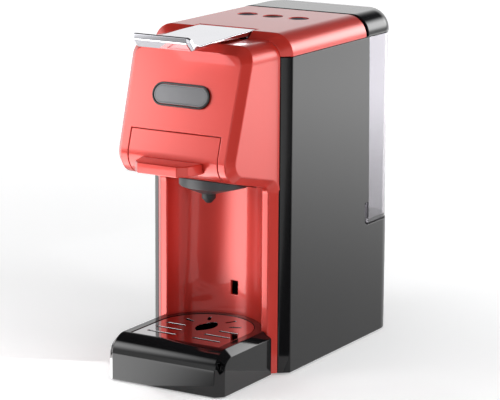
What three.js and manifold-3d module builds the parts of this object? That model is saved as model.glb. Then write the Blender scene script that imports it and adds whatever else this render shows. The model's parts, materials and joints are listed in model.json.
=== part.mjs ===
// Pod coffee machine: a narrow single-cup machine with a pod drawer, a lever on top,
// a water tank behind and a drip tray in front.
// Millimetres, +Z up, +X to the right seen from the front, the front faces -Y.
// The machine is drawn with y = 0 at the foot of the drip tray, and then moved so that
// the origin is under the middle of its box.
import * as THREE from "three";
import { mergeVertices } from "three/addons/utils/BufferGeometryUtils.js";
import Module from "manifold-3d";

const wasm = await Module();
wasm.setup();

// ---- Driving dimensions ----
const GAP = 0.3; // between touching pieces
const WALL = 2.6; // moulded shells
const HALF_WIDTH = 65; // outer body
const TOP = 278; // roof and lid
const ROOF_SHOULDER = 17.5; // rounding of the roof's long edges
const ROOF_FOOT = 260.2; // where roof and lid meet the side walls
const ROOF_REAR = 212.3;
const SHELL_FOOT = 1.5; // height of the shells over the floor
const HEAD_HALF_WIDTH = 57.5; // at the rear of the head
const HEAD_TOP = 272.4;
const HEAD_SHOULDER = 14.5;
const HEAD_REAR = 82.8;
const BEVEL = 6.3; // 45 degree edge that runs round head, column and tray
const LEAN = 0.3053; // the head's front: mm back per mm up
const HEAD_DRAFT = 0.0009; // the head narrows forwards by this share per mm
const LEAN_HEIGHT = 212; // height at which the front's y is given
const LEAN_Y = 29; // y of the side face's front edge at that height
const NICHE_Y = 62; // axis of the round niche in the column
const NICHE_RADIUS = 47.5;
const NICHE_TOP = 155;
const BREW_Y = 69; // axis of outlet, pod holder and piston
const OUTLET_Y = 79; // middle of the outlet's rim
const OUTLET_RADIUS = 29.5;
const DRAWER_HALF_WIDTH = 41;
const DRAWER_TOP = 204;
const DRAWER_REAR = 38;
const HANDLE_FRONT = -7.5;
const HANDLE_HALF_WIDTH = 28;
const LEVER_HALF_WIDTH = 26.5;
const LEVER_AXIS = { y: 82, z: 266 };
const PISTON_LIFT = 6; // brought about by the lever's full swing
const LEVER_SWING = THREE.MathUtils.degToRad(80);
const CAM_REST = 12; // from the lever's axis down to the cam's working face
const CAM_CLEARANCE = 0.3;
const BUTTON_RADIUS = 8;
const BUTTON_PLACES = [-24.5, 0, 24.5];
const BUTTON_Y = 169;
const TANK_FOOT = 100.3;
const TANK_TOP = 259.6;
const CORNER = { x: 41, y: 246, radius: 24 }; // rear corner of the body seen from above
const BOW_RADIUS = 236.1; // bowed rear between the two corners
const REAR = 274;
const VALVE_Y = 240;
const VALVE_TRAVEL = 2; // the plunger drops this far, and shuts the tank when it is lifted off
const TRAY_HALF_WIDTH = 54;
const TRAY_TOP = 37.1;
const GRILLE_RADIUS = 40.8;
const GRILLE_FRONT = 18;
const SLOT_WIDTH = 2.8;
const SLOT_ROWS = [[21.2, 31.3, 26], [22.8, 45, 24.5], [25, 58.8, 18.5]]; // x, y, length
const SLOT_FAN = [22, 64, 116, 158]; // degrees
const EYE_Y = 66;
const PUMP = [-22, 165]; // upright axes inside the body
const FLOW_METER = [30, 180];
const INLET = [38, 24]; // x and z of the power inlet in the rear
const PIN_HOLE = 2.3; // round the lever's shaft

// ---- Solids ----
function toSolid(geometry) {
  const plain = geometry.index ? geometry.toNonIndexed() : geometry.clone();
  plain.deleteAttribute("normal");
  plain.deleteAttribute("uv");
  const merged = mergeVertices(plain, 1e-4);
  const index = merged.index.array;
  const faces = [];
  for (let i = 0; i < index.length; i += 3) {
    const [a, b, c] = [index[i], index[i + 1], index[i + 2]];
    if (a !== b && b !== c && c !== a) faces.push([a, b, c]);
  }
  const vertProperties = merged.attributes.position.array;
  const make = (list) => {
    const triVerts = new Uint32Array(list.flat());
    return new wasm.Manifold(new wasm.Mesh({ numProp: 3, vertProperties, triVerts }));
  };
  const solid = make(faces);
  return solid.volume() > 0 ? solid : make(faces.map(([a, b, c]) => [a, c, b]));
}

function toGeometry(solid) {
  const mesh = solid.getMesh();
  const geometry = new THREE.BufferGeometry();
  geometry.setAttribute("position", new THREE.BufferAttribute(mesh.vertProperties, 3));
  geometry.setIndex(new THREE.BufferAttribute(mesh.triVerts, 1));
  return geometry;
}

const join = (first, ...others) => others.reduce((all, other) => all.add(other), first);
const cut = (base, ...tools) => tools.reduce((left, tool) => left.subtract(tool), base);
const points = (list) => list.map(([u, v]) => new THREE.Vector2(u, v));

function box([x0, x1], [y0, y1], [z0, z1]) {
  const geometry = new THREE.BoxGeometry(x1 - x0, y1 - y0, z1 - z0);
  geometry.translate((x0 + x1) / 2, (y0 + y1) / 2, (z0 + z1) / 2);
  return toSolid(geometry);
}

// Columns of the matrix that lays a shape's u, v and depth along three axes.
const LAYOUTS = {
  x: [[0, 1, 0], [0, 0, 1], [1, 0, 0]], // u = y, v = z
  y: [[0, 0, 1], [1, 0, 0], [0, 1, 0]], // u = z, v = x
  z: [[1, 0, 0], [0, 1, 0], [0, 0, 1]], // u = x, v = y
};

function lay(geometry, axis) {
  const columns = LAYOUTS[axis].map((c) => new THREE.Vector3(...c));
  return geometry.applyMatrix4(new THREE.Matrix4().makeBasis(...columns));
}

// A flat outline pushed along an axis from one coordinate to another.
function prism(axis, outline, [from, to], bevel = { bevelEnabled: false }) {
  const shape = new THREE.Shape(outline);
  const geometry = new THREE.ExtrudeGeometry(shape, { depth: to - from, ...bevel });
  geometry.translate(0, 0, from);
  return toSolid(lay(geometry, axis));
}

// A round bar along an axis. centre holds the two other coordinates, in x, y, z order.
function bar(axis, centre, radius, [from, to], sides = 28) {
  const geometry = new THREE.CylinderGeometry(radius, radius, to - from, sides);
  geometry.translate(0, (from + to) / 2, 0);
  if (axis === "x") geometry.rotateZ(-Math.PI / 2);
  if (axis === "z") geometry.rotateX(Math.PI / 2);
  const place = { x: [0, ...centre], y: [centre[0], 0, centre[1]], z: [...centre, 0] }[axis];
  geometry.translate(...place);
  return toSolid(geometry);
}

// A turned piece on an upright axis: profile is [radius, height] from the axis and back to it.
function turned([x, y], profile, sides = 32) {
  const geometry = new THREE.LatheGeometry(points(profile), sides);
  geometry.rotateX(Math.PI / 2);
  geometry.translate(x, y, 0);
  return toSolid(geometry);
}

function ring(centre, inner, outer, [from, to], sides = 32) {
  const hole = bar("z", centre, inner, [from - 1, to + 1], sides);
  return cut(bar("z", centre, outer, [from, to], sides), hole);
}

// A skin over outlines of equal length. place(point, level) gives [x, y, z].
function loft(outlines, place) {
  const count = outlines[0].length;
  const corners = outlines.flatMap((outline, level) => outline.flatMap((p) => place(p, level)));
  const faces = [];
  for (let level = 0; level < outlines.length - 1; level++) {
    for (let i = 0; i < count; i++) {
      const a = level * count + i;
      const b = level * count + ((i + 1) % count);
      faces.push([a, b, b + count], [a, b + count, a + count]);
    }
  }
  const last = (outlines.length - 1) * count;
  THREE.ShapeUtils.triangulateShape(outlines[0], []).forEach(([a, b, c]) => faces.push([a, c, b]));
  THREE.ShapeUtils.triangulateShape(outlines.at(-1), []).forEach(([a, b, c]) =>
    faces.push([a + last, b + last, c + last]));
  const geometry = new THREE.BufferGeometry();
  geometry.setAttribute("position", new THREE.BufferAttribute(new Float32Array(corners), 3));
  geometry.setIndex(faces.flat());
  return toSolid(geometry);
}

// A hose through the given points.
function hose(route, radius = 3) {
  const path = new THREE.CatmullRomCurve3(route.map((p) => new THREE.Vector3(...p)));
  const section = new THREE.Shape();
  section.absarc(0, 0, radius, 0, 2 * Math.PI);
  const options = { steps: 4 * route.length, curveSegments: 4, extrudePath: path };
  return toSolid(new THREE.ExtrudeGeometry(section, options));
}

class Helix extends THREE.Curve {
  constructor(radius, bottom, height, turns) {
    super();
    Object.assign(this, { radius, bottom, height, turns });
  }

  getPoint(t, target = new THREE.Vector3()) {
    const angle = 2 * Math.PI * this.turns * t;
    const { radius, bottom, height } = this;
    return target.set(radius * Math.cos(angle), radius * Math.sin(angle), bottom + height * t);
  }
}

function spring([x, y], radius, wire, [from, to], turns) {
  const section = new THREE.Shape();
  section.absarc(0, 0, wire / 2, 0, 2 * Math.PI);
  const path = new Helix(radius, from + wire / 2, to - from - wire, turns);
  const options = { steps: 10 * turns, curveSegments: 3, extrudePath: path };
  const geometry = new THREE.ExtrudeGeometry(section, options);
  geometry.translate(x, y, 0);
  return toSolid(geometry);
}

// ---- Outlines ----
const arc = (cx, cy, radius, from, to, steps) =>
  Array.from({ length: steps + 1 }, (_, i) => {
    const angle = THREE.MathUtils.degToRad(from + ((to - from) * i) / steps);
    return new THREE.Vector2(cx + radius * Math.cos(angle), cy + radius * Math.sin(angle));
  });

// Front view of roof, head or lid: upright sides and a flat top with round shoulders.
function archOutline(halfWidth, top, shoulder, bottom, steps = 6) {
  const right = arc(halfWidth - shoulder, top - shoulder, shoulder, 0, 90, steps);
  const left = arc(-halfWidth + shoulder, top - shoulder, shoulder, 90, 180, steps);
  return [...points([[-halfWidth, bottom], [halfWidth, bottom]]), ...right, ...left];
}

const CORNER_END = THREE.MathUtils.radToDeg(Math.atan2(CORNER.y - REAR + BOW_RADIUS, CORNER.x));

// The body seen from above, inset by a wall, from y = front to the bowed rear.
function planOutline(inset, front) {
  const { x, y, radius } = CORNER;
  const right = arc(x, y, radius - inset, 0, CORNER_END, 7);
  const bowCentre = REAR - BOW_RADIUS;
  const bow = arc(0, bowCentre, BOW_RADIUS - inset, CORNER_END, 180 - CORNER_END, 8).slice(1, -1);
  const left = arc(-x, y, radius - inset, 180 - CORNER_END, 180, 7);
  const side = HALF_WIDTH - inset;
  return [...points([[-side, front], [side, front]]), ...right, ...bow, ...left];
}

// Half the body's width at a given y, for the lid's sections.
function halfWidthAt(y, inset) {
  const { radius } = CORNER;
  const cornerRear = CORNER.y + (radius - inset) * Math.sin(THREE.MathUtils.degToRad(CORNER_END));
  if (y <= CORNER.y) return HALF_WIDTH - inset;
  if (y <= cornerRear) return CORNER.x + Math.sqrt((radius - inset) ** 2 - (y - CORNER.y) ** 2);
  return Math.sqrt((BOW_RADIUS - inset) ** 2 - (y - REAR + BOW_RADIUS) ** 2);
}

// The machine's side face: head, its rounded lower front corner and the column's front edge.
const SIDE_FACE = points([
  [100, -20], [83, -20], [83, 150], [81.2, 154.8], [76, 159.8], [69.3, 163.7], [28.7, 173],
  [24.6, 175.4], [22.1, 179.5], [21.7, 184.1], [24.1, 195.4], [LEAN_Y, LEAN_HEIGHT], [55.9, 300],
  [100, 300],
]).reverse();

// Head and column as one block, inset by a wall. The bevel lies between side face and front,
// and the sides draw in a little towards the front.
function headBlock(inset) {
  const bevel = BEVEL - inset * (2 - Math.SQRT2);
  const outward = BEVEL - inset;
  const face = HEAD_HALF_WIDTH - inset;
  const profile = prism("x", SIDE_FACE, [-face + bevel, face - bevel], {
    bevelThickness: bevel, bevelSize: bevel, bevelOffset: outward - bevel, bevelSegments: 1,
  });
  const top = HEAD_TOP - inset;
  const shoulder = HEAD_SHOULDER - inset;
  const wide = archOutline(face, top, shoulder, -30);
  const narrow = archOutline(face - bevel, top - bevel, shoulder - bevel, -30);
  const step = Math.hypot(1, LEAN);
  const place = ({ x, y: z }, level) => {
    const edge = LEAN_Y + (z - LEAN_HEIGHT) * LEAN - 0.1;
    return [x, [edge - outward * step, edge - (outward - bevel) * step, 120][level], z];
  };
  return loft([narrow, wide, wide], place).intersect(profile).warp((corner) => {
    corner[0] *= 1 - HEAD_DRAFT * (HEAD_REAR - corner[1]);
  });
}

const UNDERSIDE_FALL = 0.2296;
const undersideAt = (y) => 162.8 - UNDERSIDE_FALL * (y - 45);

// ---- Materials ----
const material = (color, roughness, metalness = 0) =>
  new THREE.MeshStandardMaterial({ color, roughness, metalness });
const RED = material(0xc8262a, 0.25);
const BLACK_GLOSS = material(0x18181b, 0.2);
const BLACK_MATTE = material(0x202022, 0.6);
const DARK_GREY = material(0x4a4a4e, 0.45);
const CHROME = material(0xe8e8ea, 0.08, 1);
const STEEL = material(0xb8b8bc, 0.3, 1);
const ALUMINIUM = material(0xb0b2b5, 0.4, 1);
const CLEAR_GREY = new THREE.MeshStandardMaterial({
  color: 0xc8c6cc, roughness: 0.08, transparent: true, opacity: 0.35,
});
const RUBBER = material(0x26262a, 0.9);
const WHITE_PLASTIC = material(0xd8d8d4, 0.5);
const CIRCUIT_GREEN = material(0x1f6b3a, 0.5);
const HOSE_WHITE = material(0xe4e0d4, 0.5);
const BADGE_GREY = material(0x9a9a9e, 0.35, 0.8);
const BUTTON_BLUE = material(0x2c3550, 0.3);
const BUTTON_BROWN = material(0x6b2a20, 0.3);

const machine = new THREE.Group();

function add(name, solid, look, group = machine) {
  const mesh = new THREE.Mesh(toGeometry(solid), look);
  mesh.name = name;
  group.add(mesh);
}

// ---- Head and column ----
const LEVER_SLOT = LEVER_HALF_WIDTH + 0.8;
const niche = (extra, heights) => bar("z", [0, NICHE_Y], NICHE_RADIUS + extra, heights, 56);

function addFrontShell() {
  const room = box([-90, 90], [-60, HEAD_REAR], [SHELL_FOOT, 300]);
  const behindColumn = box([-60, 60], [78, 130], [0, 300]);
  const bulge = niche(WALL, [SHELL_FOOT, NICHE_TOP + WALL]).intersect(behindColumn);
  const outer = headBlock(0).intersect(room);
  const hollow = cut(headBlock(WALL), niche(WALL, [-30, NICHE_TOP + WALL]));
  const opening = DRAWER_HALF_WIDTH + 0.4;
  const shell = cut(
    join(cut(outer, hollow), bulge),
    niche(0, [-30, NICHE_TOP]),
    box([-opening, opening], [-60, DRAWER_REAR + GAP], [140, DRAWER_TOP + GAP]),
    box([-opening, opening], [DRAWER_REAR, 76.4], [NICHE_TOP, 180]),
    box([-LEVER_SLOT, LEVER_SLOT], [76, 90], [262, 300]),
    box([-3, 3], [100, 120], [53.5, 65]),
  );
  add("front_shell", shell, RED);
}

function addTopCover() {
  const wide = archOutline(HALF_WIDTH, TOP, ROOF_SHOULDER, ROOF_FOOT);
  const narrow = archOutline(HEAD_HALF_WIDTH, HEAD_TOP, 14, 257);
  const front = HEAD_REAR + GAP;
  const place = (levels) => ({ x, y: z }, level) => [x, levels[level], z];
  const outer = loft([narrow, wide, wide], place([front, front + 6.5, ROOF_REAR]));
  const hollow = archOutline(HALF_WIDTH - WALL, TOP - WALL, 15, 240);
  const hollowFront = archOutline(51.8, 266.4, 9, 240);
  const inner = loft([hollowFront, hollow, hollow], place([80, 90.7, 230]));
  const floor = box([-90, 90], [60, 230], [200, ROOF_FOOT]);
  let cover = cut(outer, inner, floor, box([-LEVER_SLOT, LEVER_SLOT], [60, 99.3], [250, 300]));
  for (const x of BUTTON_PLACES) {
    cover = cut(cover, bar("z", [x, BUTTON_Y], BUTTON_RADIUS + 0.4, [260, 300]));
  }
  for (const x of [-42, 42]) {
    cover = join(cover, bar("z", [x, BUTTON_Y], 2.5, [264, 276], 12));
  }
  add("top_cover", cover, RED);
}

function addHeadUnderside() {
  const front = DRAWER_REAR + 0.7;
  const rear = 76;
  const plate = prism("x", points([
    [front, undersideAt(front)], [rear, undersideAt(rear)],
    [rear, undersideAt(rear) + 3], [front, undersideAt(front) + 3],
  ]), [-DRAWER_HALF_WIDTH, DRAWER_HALF_WIDTH]);
  add("head_underside", cut(plate, bar("z", [0, BREW_Y], 7, [150, 170])), BLACK_MATTE);
}

// A funnel whose rim is centred behind its nozzle. Its top follows the head's underside.
function addOutlet() {
  const circle = arc(0, 0, 1, 0, 360, 40).slice(0, -1);
  const levels = [
    { y: BREW_Y, z: 147, radius: 7 }, { y: OUTLET_Y, z: 152.9, radius: OUTLET_RADIUS },
    { y: OUTLET_Y, z: 168, radius: OUTLET_RADIUS },
  ];
  const cone = loft([circle, circle, circle], (point, level) => {
    const { y, z, radius } = levels[level];
    return [radius * point.x, y + radius * point.y, z];
  });
  const above = prism("x", points([
    [0, undersideAt(0) - GAP], [BREW_Y + 7, undersideAt(BREW_Y + 7) - 1], [130, NICHE_TOP - GAP],
    [130, 190], [0, 190],
  ]), [-40, 40]);
  add("outlet_cone", cut(cone, above, bar("z", [0, BREW_Y], 3, [130, 180], 20)), DARK_GREY);
  add("outlet_nozzle", turned([0, BREW_Y], [
    [1.6, 139], [2.2, 139], [5.2, 142.3], [5.7, 142.9], [5.7, 146.7], [1.6, 146.7], [1.6, 139],
  ], 24), BLACK_MATTE);
}

function addBadge() {
  const width = 17;
  const height = 8.5;
  const pill = (grow) => [
    ...arc(width, 0, height + grow, -90, 90, 10), ...arc(-width, 0, height + grow, 90, 270, 10),
  ];
  const lean = new THREE.Matrix4().makeRotationX(Math.PI / 2 - Math.atan(LEAN));
  const centreZ = 232;
  const faceY = LEAN_Y - BEVEL * Math.hypot(1, LEAN) + (centreZ - LEAN_HEIGHT) * LEAN;
  const build = (outline, hole, [from, to]) => {
    const shape = new THREE.Shape(outline);
    if (hole) shape.holes.push(new THREE.Path(hole));
    const geometry = new THREE.ExtrudeGeometry(shape, { depth: to - from, bevelEnabled: false });
    geometry.translate(0, 0, from);
    geometry.applyMatrix4(lean);
    geometry.translate(0, faceY, centreZ);
    return toSolid(geometry);
  };
  add("badge_frame", build(pill(1), pill(-0.6), [GAP, 1.9]), BLACK_GLOSS);
  add("badge_plate", build(pill(-0.9), null, [GAP, 1.5]), BADGE_GREY);
}

// ---- Body ----
function addRearBody() {
  const front = HEAD_HALF_WIDTH + 0.1;
  const outline = planOutline(0, 90);
  outline.splice(0, 2, ...points([
    [-HALF_WIDTH, 89.6], [-front, HEAD_REAR + GAP], [front, HEAD_REAR + GAP], [HALF_WIDTH, 89.6],
  ]));
  const tall = [SHELL_FOOT, ROOF_FOOT - 0.3];
  const side = HALF_WIDTH - WALL;
  const hollow = planOutline(WALL, 90.7);
  hollow.splice(0, 2, ...points([
    [-side, 90.7], [-54, 82.2], [-54, 70], [54, 70], [54, 82.2], [side, 90.7],
  ]));
  const tankBay = prism("x", [
    ...points([[300, 280], [217.4, 280], [221.4, 118.6], [214.6, 118.6]]),
    ...arc(219.6, 104.2, 5, 180, 270, 4), ...points([[300, 99.2]]),
  ], [-90, 90]);
  const shell = cut(
    prism("z", outline, tall), prism("z", hollow, [-10, 300]), tankBay,
    bar("y", INLET, 7.3, [255, 290], 24),
  );
  add("rear_body", shell, BLACK_GLOSS);
}

function addRearWall() {
  const outline = archOutline(61.9, 275, 14.6, 5).map(({ x, y: z }) => new THREE.Vector2(z, x));
  const plate = prism("y", outline, [208, 211]);
  const hosePass = bar("y", [23, 48], 6.5, [200, 220], 16);
  add("rear_wall", cut(plate, hosePass), BLACK_MATTE);
}

function addBase() {
  const corners = [[-50, 126], [50, 126], [-50, 236], [50, 236]];
  const names = ["front_left", "front_right", "rear_left", "rear_right"];
  let plate = prism("z", planOutline(WALL + GAP, 113), [2.2, 4.4]);
  corners.forEach(([x, y], i) => {
    const screw = [x * 0.72, y + 6];
    plate = cut(plate, bar("z", screw, 1.9, [0, 10], 12));
    add(`base_screw_${names[i]}`, turned(screw, [
      [0, 1.1], [3, 1.1], [3, 1.9], [1.5, 1.9], [1.5, 12], [0, 12],
    ], 12), STEEL);
    const foot = [[0, 0], [7.4, 0], [8, 0.6], [8, 1.9], [0, 1.9]];
    add(`foot_${names[i]}`, turned([x, y], foot, 20), RUBBER);
  });
  add("base_plate", plate, BLACK_MATTE);
}

function addDock() {
  const plate = prism("z", planOutline(WALL + GAP, 211.4), [95.5, 98.9]);
  add("tank_dock", cut(plate, bar("z", [0, VALVE_Y], 12, [90, 110])), BLACK_GLOSS);
  add("valve_seat", turned([0, VALVE_Y], [
    [0, 80], [16, 80], [16, 95.2], [10.6, 95.2], [10.6, 90.5], [1.2, 90.5], [1.2, 94.9], [0, 94.9],
  ], 24), BLACK_MATTE);
  const bush = bar("y", INLET, 7, [262, 273.4], 24);
  add("mains_inlet", cut(bush, bar("y", INLET, 3.6, [255, 280], 16)), RUBBER);
}

function addChassis() {
  const frame = prism("y", points([
    [5, -56], [165, -56], [165, 56], [5, 56], [5, 53.6], [162.6, 53.6], [162.6, -53.6], [5, -53.6],
  ]), [118, 203]);
  const arms = [41, 112].map((z) => box([-54, -42.4], [160, 170], [z, z + 4]));
  add("chassis", cut(join(frame, ...arms), bar("z", PUMP, 5, [150, 180], 16)), ALUMINIUM);
}

// ---- Water tank ----
// The tank's foot reaches forward between the body's side walls, so it is narrower there
// and the tank lifts straight out.
function addTank() {
  const side = (list) => prism("x", points(list), [-90, 90]);
  const block = (inset, floor, slope, top) =>
    prism("z", planOutline(inset, 200), [floor, top]).intersect(side(slope));
  const footTop = 117.6;
  const floor = TANK_FOOT + 2.7;
  const outer = join(
    block(0.6, TANK_FOOT, [[290, 90], [290, 280], [217.9, 280], [221.8, footTop], [222.2, 90]], TANK_TOP),
    block(WALL + 0.5, TANK_FOOT, [
      [240, 90], [240, 280], [215.3, 280], [215.3, 105.4], [216.8, 102], [220.2, 90],
    ], footTop),
  );
  const inner = join(
    block(2.8, floor, [[290, 90], [290, 280], [220.1, 280], [224.2, 90]], 300),
    block(WALL + 2.7, floor, [[240, 90], [240, 280], [217.6, 280], [217.6, 90]], footTop - 2.2),
  );
  const neck = bar("z", [0, VALVE_Y], 9.8, [91.5, TANK_FOOT + 1]);
  const tank = cut(join(cut(outer, inner), neck), bar("z", [0, VALVE_Y], 5.5, [80, 110]));
  add("water_tank", tank, CLEAR_GREY);
  const disc = floor + GAP + VALVE_TRAVEL;
  add("tank_valve", turned([0, VALVE_Y], [
    [0, disc - 10], [2.5, disc - 10], [2.5, disc], [8, disc], [8, disc + 2], [0, disc + 2],
  ], 20), RUBBER);
}

const LID_FRONT = 216.3;
const LID_STATIONS = [LID_FRONT, 246, 252, 257.5, 262, 266, 269.3, 271.8, 273.4];
const LID_REAR_ROUNDING = 12;
const LID_WALL = 2.4;

function lidBlock(inset, foot, front) {
  const stations = LID_STATIONS.map((y, i) => (i === 0 ? front : y - inset * (y > CORNER.y ? 1 : 0)));
  const outlines = stations.map((y) => {
    const past = Math.max(0, y - (REAR - LID_REAR_ROUNDING));
    const radius = LID_REAR_ROUNDING - inset;
    const top = TOP - inset - (radius - Math.sqrt(Math.max(0, radius ** 2 - past ** 2)));
    return archOutline(halfWidthAt(y, inset), top, Math.min(ROOF_SHOULDER - inset, (top - foot) * 0.92), foot);
  });
  return loft(outlines, ({ x, y: z }, level) => [x, stations[level], z]);
}

function addLid() {
  const outer = lidBlock(0, ROOF_FOOT, LID_FRONT);
  add("tank_lid", cut(outer, lidBlock(LID_WALL, 255, LID_FRONT + LID_WALL)), BLACK_GLOSS);
}

// ---- Drip tray ----
function trayOutline(halfWidth, front, radius) {
  return [...points([[-halfWidth, front], [halfWidth, front]]), ...arc(0, NICHE_Y, radius, 0, 180, 28)];
}

function addDripTray() {
  const face = points([
    [6.3, -20], [6.3, 22], [8.6, 27], [12.6, 30], [19.4, 31.1], [130, 31.1], [130, -20],
  ]).reverse();
  const bevel = 6;
  const profile = prism("x", face, [-TRAY_HALF_WIDTH + bevel, TRAY_HALF_WIDTH - bevel], {
    bevelThickness: bevel, bevelSize: bevel, bevelOffset: 0, bevelSegments: 1,
  });
  const front = prism("z", points([
    [-70, -10], [70, -10], [70, 78.3], [53, 78.3], [50.7, 76.2], [-50.7, 76.2], [-53, 78.3],
    [-70, 78.3],
  ]), [0.9, 60]);
  const tongue = prism("z", trayOutline(NICHE_RADIUS - GAP, 60, NICHE_RADIUS - GAP), [0.9, 60]);
  const seat = GRILLE_RADIUS + 0.4;
  const ledge = prism("z", trayOutline(seat, GRILLE_FRONT - 0.4, seat), [34.3, 60]);
  const mouth = prism("z", trayOutline(38.5, GRILLE_FRONT + 2, 38.5), [10, 60]);
  const basin = join(
    box([-51, 51], [3.5, 73], [3.5, 28]),
    prism("z", trayOutline(44.5, 60, 44.5), [3.5, 31.5]),
  );
  add("drip_tray", cut(profile.intersect(join(front, tongue)), ledge, mouth, basin), BLACK_GLOSS);
}

// Three rows of slots on either side, four slots fanned out behind, and a pointed eye.
function addGrille() {
  const depth = [30, 40];
  const slot = (centre, length, turn) => {
    const radius = SLOT_WIDTH / 2;
    const end = length / 2 - radius;
    const outline = [...arc(end, 0, radius, -90, 90, 4), ...arc(-end, 0, radius, 90, 270, 4)];
    const origin = new THREE.Vector2();
    return prism("z", outline.map((p) => p.rotateAround(origin, turn).add(centre)), depth);
  };
  const rows = [-1, 1].flatMap((side) =>
    SLOT_ROWS.map(([x, y, length]) => slot(new THREE.Vector2(side * x, y), length, 0)));
  const fan = SLOT_FAN.map((degrees) => {
    const turn = THREE.MathUtils.degToRad(degrees);
    const centre = new THREE.Vector2(23.5, 0).rotateAround(new THREE.Vector2(), turn);
    return slot(centre.add(new THREE.Vector2(0, EYE_Y)), 10.5, turn);
  });
  const eye = prism("z", [
    ...arc(-11.25, EYE_Y, 18.75, -53.1, 53.1, 8), ...arc(11.25, EYE_Y, 18.75, 126.9, 233.1, 8),
  ], depth);
  const plate = prism("z", trayOutline(GRILLE_RADIUS, GRILLE_FRONT, GRILLE_RADIUS), [34.7, 36.7]);
  add("drip_grille", cut(plate, ...rows, ...fan, eye), STEEL);
}

// ---- Lever and brewing group ----
function addLever() {
  const { y, z } = LEVER_AXIS;
  const profile = [
    ...points([
      [97, 277.7], [66, 277.3], [45, 276.4], [14, 275.2], [6, 277.6], [1.4, 283], [-2.8, 283.5],
      [-2.8, 278.7], [4.5, 271.8], [13, 272.2], [44, 273.1], [84.5, 273.6], [80.5, 270.2],
    ]),
    ...arc(y, z, 4.5, 120, 350, 10),
    ...points([[88, 268], [96, 274], [97, 275.5]]),
  ];
  const block = prism("x", profile, [-LEVER_HALF_WIDTH, LEVER_HALF_WIDTH]);
  const camRoom = box([-14.5, 14.5], [70, 96.4], [250, 273.2]);
  add("lever", cut(block, camRoom, bar("x", [y, z], PIN_HOLE, [-40, 40], 20)), CHROME);
  add("lever_shaft", bar("x", [y, z], 2, [-26, 26], 20), STEEL);
  addCam();
}

// The cam's working face falls by the same amount for every degree of swing, so that the
// piston below it rises evenly.
function addCam() {
  const { y, z } = LEVER_AXIS;
  const fall = PISTON_LIFT / LEVER_SWING;
  const working = Array.from({ length: 13 }, (_, i) => {
    const turn = (LEVER_SWING * i) / 12;
    const reach = CAM_REST - fall * turn;
    const down = new THREE.Vector2(Math.sin(turn), -Math.cos(turn));
    const along = new THREE.Vector2(Math.cos(turn), Math.sin(turn));
    return down.multiplyScalar(reach).addScaledVector(along, -fall).add(new THREE.Vector2(y, z));
  });
  const outline = [...working, ...arc(y, z, 5, 20, 195, 8)];
  const disc = prism("x", outline, [-7, 7]);
  add("lever_cam", cut(disc, bar("x", [y, z], PIN_HOLE, [-10, 10], 20)), DARK_GREY);
}

function addLeverBracket() {
  const { y, z } = LEVER_AXIS;
  const foot = box([-13, 13], [82, 95], [229.3, 232.3]);
  const ears = [-11, 11].map((x) => box([x - 2, x + 2], [78, 87.5], [230, z + 3.4]));
  add("lever_bracket", cut(join(foot, ...ears), bar("x", [y, z], PIN_HOLE, [-40, 40], 20)), STEEL);
}

const SPRING_X = 17;

function addBrewGroup() {
  const stem = [0, BREW_Y];
  const plate = box([-53.4, 53.4], [48, 112], [226, 229]).intersect(headBlock(WALL + GAP));
  add("group_frame", cut(plate, bar("z", stem, 12.4, [220, 240])), ALUMINIUM);
  add("piston_guide", ring(stem, 12.4, 20, [213, 225.7]), DARK_GREY);
  add("brew_piston", turned(stem, [
    [0, 194.3], [23, 194.3], [24, 195.3], [24, 206], [12, 206], [12, 240], [0, 240],
  ]), ALUMINIUM);
  add("piston_seal", ring(stem, 16, 23.5, [191.9, 194]), RUBBER);
  const camFloor = LEVER_AXIS.z - CAM_REST - CAM_CLEARANCE;
  add("piston_yoke", join(
    box([-22, 22], [57, 73.5], [240.3, 244]),
    box([-6.5, 6.5], [72, 88], [240.3, camFloor]),
  ), STEEL);
  for (const [name, x] of [["left", -SPRING_X], ["right", SPRING_X]]) {
    add(`piston_spring_${name}`, spring([x, 65], 3.6, 1.2, [229.4, 239.9], 3), STEEL);
  }
}

// ---- Pod drawer ----
function addDrawer() {
  const width = [-DRAWER_HALF_WIDTH, DRAWER_HALF_WIDTH];
  const panel = headBlock(0).intersect(box(width, [-60, DRAWER_REAR], [140, DRAWER_TOP]));
  add("drawer_front", cut(panel, headBlock(WALL)), RED);
  const half = [[HANDLE_HALF_WIDTH, 30], [HANDLE_HALF_WIDTH, 12], [24.5, -1], [18, HANDLE_FRONT]];
  const mirrored = half.map(([x, y]) => [-x, y]).reverse();
  const grip = prism("z", points([...half, ...mirrored]).reverse(), [174.6, 183.2]);
  add("drawer_handle", cut(grip, headBlock(-GAP)), RED);
  const room = headBlock(WALL + GAP);
  const plate = box([-39, 39], [0, 100], [186, 189]);
  const ribs = [-33, 33].map((x) => box([x - 1.3, x + 1.3], [0, 100], [172, 187]));
  const carrier = join(plate, ...ribs).intersect(room.add(box([-50, 50], [60, 100], [160, 200])));
  add("pod_carrier", cut(carrier, bar("z", [0, BREW_Y], 25.4, [160, 200], 40)), BLACK_MATTE);
  add("pod_holder", turned([0, BREW_Y], [
    [2, 168.4], [5, 168.4], [5, 170], [22, 170], [25, 174], [25, 189.3], [28.5, 189.3], [28.5, 191.5],
    [22, 191.5], [20, 173], [2, 173], [2, 168.4],
  ], 28), ALUMINIUM);
  for (const [name, side] of [["left", -1], ["right", 1]]) {
    const channel = [[183, 36.5], [192, 36.5], [192, 60], [183, 60]];
    const groove = [[185.7, 30], [189.3, 30], [189.3, 39.5], [185.7, 39.5]];
    const shape = (list) => points(side < 0 ? list.map(([z, x]) => [z, -x]).reverse() : list);
    const rail = cut(prism("y", shape(channel), [42, 82]), prism("y", shape(groove), [30, 110]));
    add(`drawer_rail_${name}`, rail.intersect(room), DARK_GREY);
  }
}

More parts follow.
